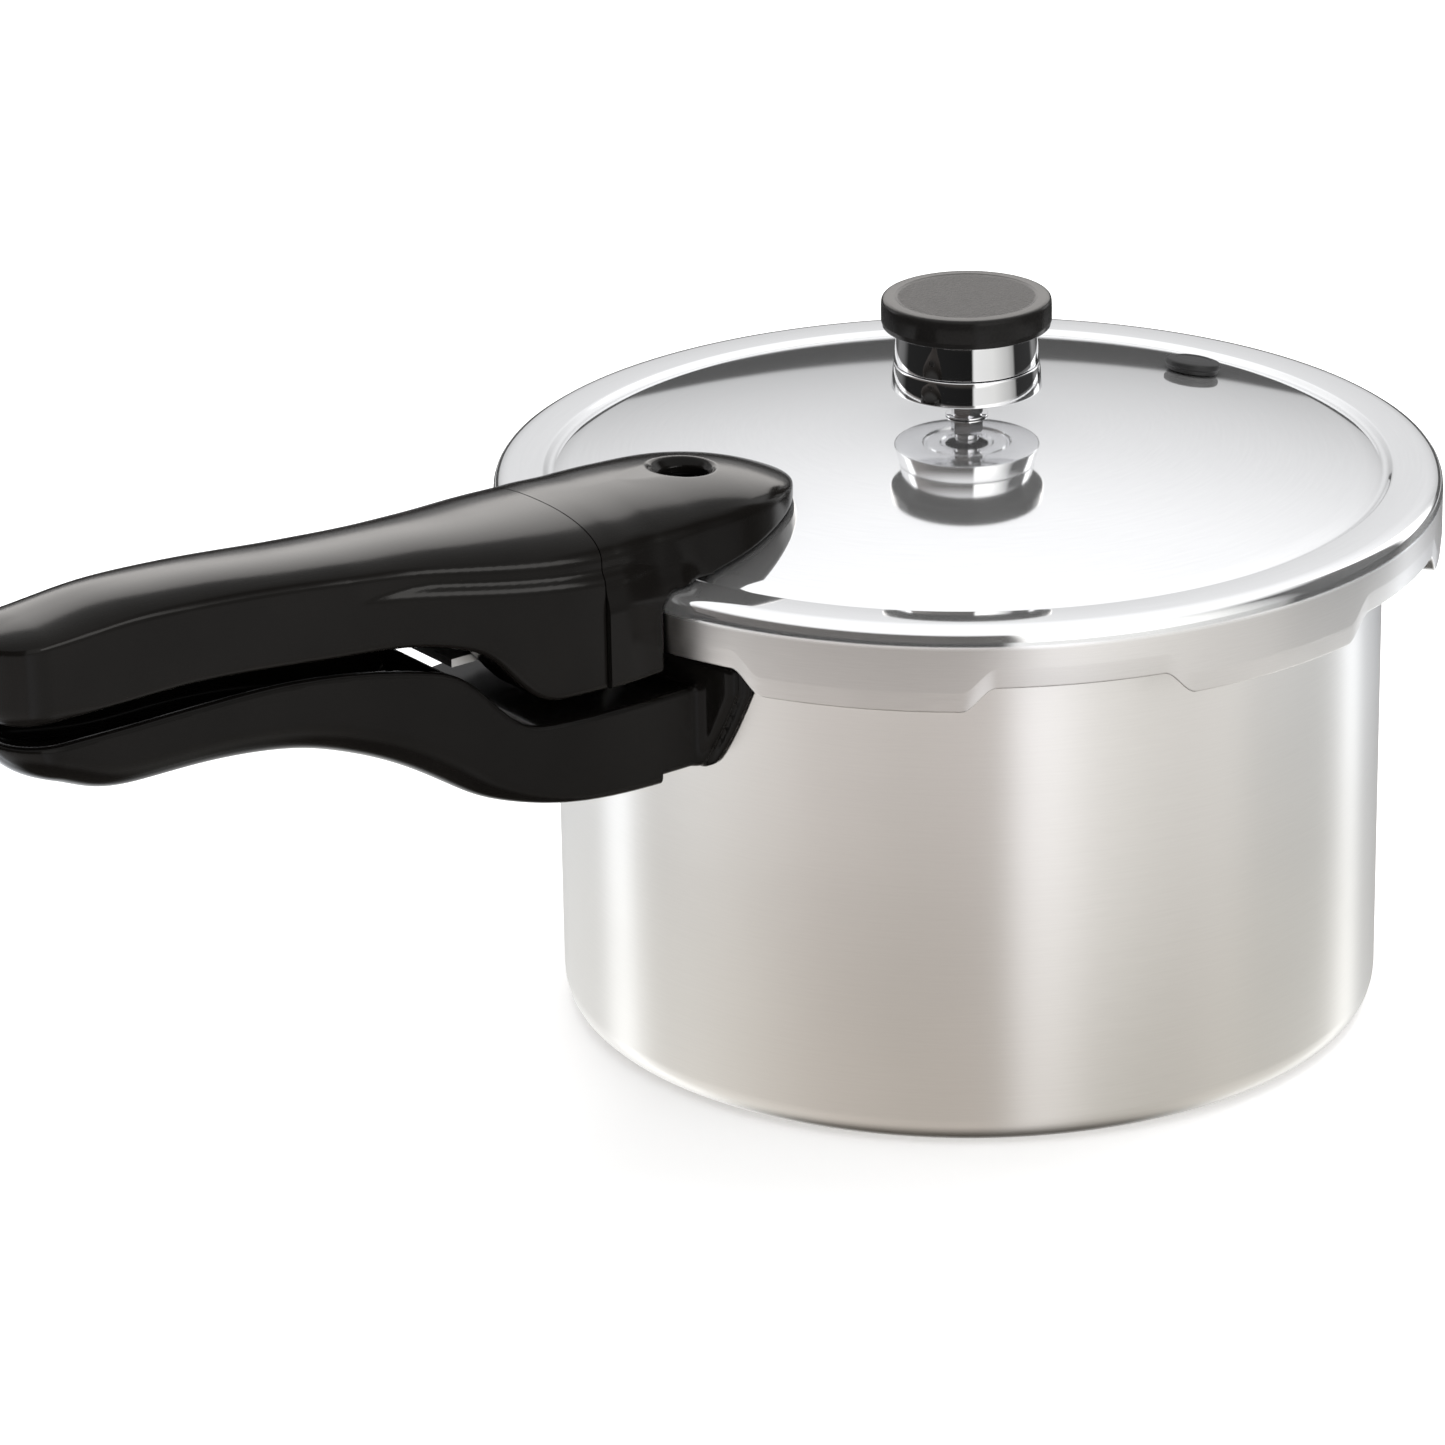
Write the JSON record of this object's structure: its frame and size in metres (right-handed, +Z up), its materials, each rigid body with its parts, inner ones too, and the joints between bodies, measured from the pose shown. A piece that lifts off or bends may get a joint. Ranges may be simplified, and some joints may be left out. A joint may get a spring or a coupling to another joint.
{
  "type": "stovetop pressure cooker",
  "caption": "Long-handled stovetop pressure cooker: lugged cover that twists and lifts off, domed lid, weight regulator on a vent pipe, stacked pot and cover handles, lift-out rack.",
  "frame": {"origin": "centre of the pot's flat base, on the pot's axis", "axes": "+Z up along the pot's axis; -X along both handles, away from the pot; +Y to the left when looking along +X from the handle end"},
  "size_m": [0.3967, 0.2314, 0.179],
  "materials": {
    "brushed_aluminium": "fine brushing around the pot, satin",
    "polished_aluminium": "mirror-polished dome and ring with a brushed skirt",
    "rack_aluminium": "plain pressed sheet, satin",
    "black_phenolic": "glossy moulded phenolic",
    "cap_phenolic": "fine-grained top inside a smoother border",
    "regulator_chrome": "mirror chrome plating",
    "bracket_steel": "plain stamped steel",
    "screw_steel": "zinc-plated",
    "vent_steel": "turned steel, satin",
    "plug_rubber": "matt black rubber",
    "ring_rubber": "matt dark grey rubber"
  },
  "bodies": {
    "pot": {"pot_body": "brushed_aluminium", "pot_handle_bracket": "bracket_steel", "bracket_rivet_left": "bracket_steel", "bracket_rivet_right": "bracket_steel", "pot_handle_ferrule": "black_phenolic", "pot_handle": "black_phenolic", "pot_handle_screw": "screw_steel", "lock_bracket": "bracket_steel", "lock_rivet_left": "bracket_steel", "lock_rivet_right": "bracket_steel"},
    "rack": {"cooking_rack": "rack_aluminium"},
    "seal": {"sealing_ring": "ring_rubber"},
    "cover": {"cover_lid": "polished_aluminium", "overpressure_plug": "plug_rubber", "cover_handle_bracket": "bracket_steel", "cover_handle_nose": "black_phenolic", "cover_handle_grip": "black_phenolic", "cover_handle_screw_front": "screw_steel", "cover_handle_screw_rear": "screw_steel", "air_vent_gasket": "plug_rubber", "vent_pipe": "regulator_chrome", "vent_pipe_nut": "bracket_steel"},
    "lock_pin": {"air_vent_pin": "vent_steel", "air_vent_cup": "vent_steel"},
    "regulator": {"regulator_base": "regulator_chrome", "regulator_body": "regulator_chrome", "regulator_needle": "vent_steel", "regulator_cap": "cap_phenolic"}
  },
  "joints": [
    {"name": "rack_lift", "type": "slide", "parent": "pot", "child": "rack", "axis": [0, 0, 1], "range_m": [0, 0.09]},
    {"name": "cover_lift", "type": "slide", "parent": "pot", "child": "seal", "axis": [0, 0, 1], "range_m": [0, 0.15]},
    {"name": "cover_turn", "type": "hinge", "parent": "seal", "child": "cover", "pos_m": [0, 0, 0], "axis": [0, 0, 1], "range_deg": [0, 25.7]},
    {"name": "regulator_lift", "type": "slide", "parent": "cover", "child": "regulator", "axis": [0, 0, 1], "range_m": [0, 0.04]},
    {"name": "air_vent_rise", "type": "slide", "parent": "cover", "child": "lock_pin", "axis": [0, 0, 1], "range_m": [0, 0.005]}
  ]
}
